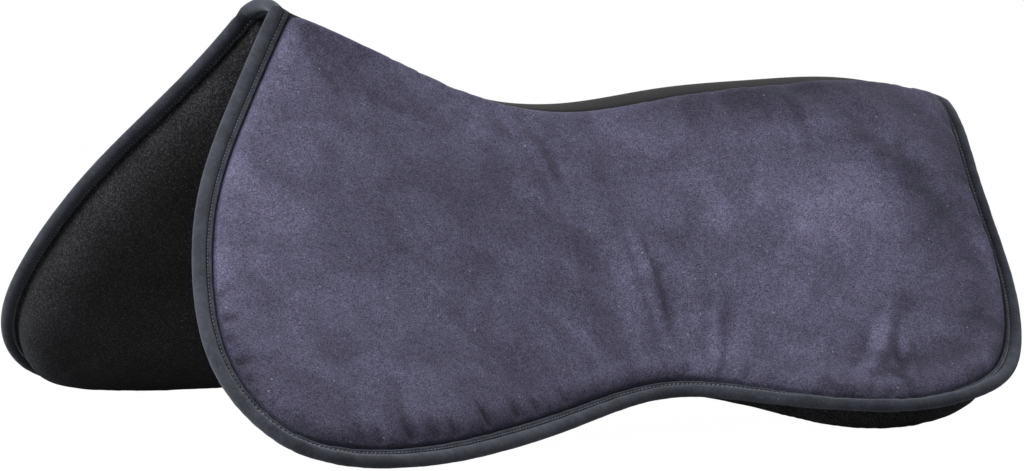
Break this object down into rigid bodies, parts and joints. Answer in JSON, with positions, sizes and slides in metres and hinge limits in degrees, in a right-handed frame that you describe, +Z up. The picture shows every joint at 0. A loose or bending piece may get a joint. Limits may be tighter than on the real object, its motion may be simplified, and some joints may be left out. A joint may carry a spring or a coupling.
{
  "type": "saddle half pad",
  "caption": "Padded half pad for under a saddle: foam panels joined by a spine strip, with a suede top, a jersey lining and a bound edge.",
  "frame": {"origin": "on the ground under the middle of the pad's bounding box, with the pad standing open on its front and rear lobes", "axes": "+X from the pommel end to the cantle end, +Y to the rider's right, +Z up"},
  "size_m": [0.665, 0.5426, 0.2969],
  "materials": {
    "suede": "brushed synthetic suede, soft sheen",
    "memory_foam": "open-cell foam",
    "jersey": "fine brushed jersey",
    "binding_tape": "folded bias tape",
    "spine_fabric": "woven fabric"
  },
  "bodies": {
    "spine": {"spine_strip": "spine_fabric", "spine_lining": "jersey", "pommel_binding": "binding_tape", "cantle_binding": "binding_tape"},
    "left_panel": {"left_top_cover": "suede", "left_foam_core": "memory_foam", "left_lining": "jersey", "left_edge_binding": "binding_tape"},
    "right_panel": {"right_top_cover": "suede", "right_foam_core": "memory_foam", "right_lining": "jersey", "right_edge_binding": "binding_tape"}
  },
  "joints": [
    {"name": "left_panel_fold", "type": "hinge", "parent": "spine", "child": "left_panel", "pos_m": [0, -0.028, 0.24064], "axis": [-0.9968, 0, 0.0797], "range_deg": [-25, 30], "deforming": ["spine_strip", "spine_lining", "pommel_binding", "cantle_binding"]},
    {"name": "right_panel_fold", "type": "hinge", "parent": "spine", "child": "right_panel", "pos_m": [0, 0.028, 0.24064], "axis": [0.9968, 0, -0.0797], "range_deg": [-25, 30], "deforming": ["spine_strip", "spine_lining", "pommel_binding", "cantle_binding"]}
  ]
}
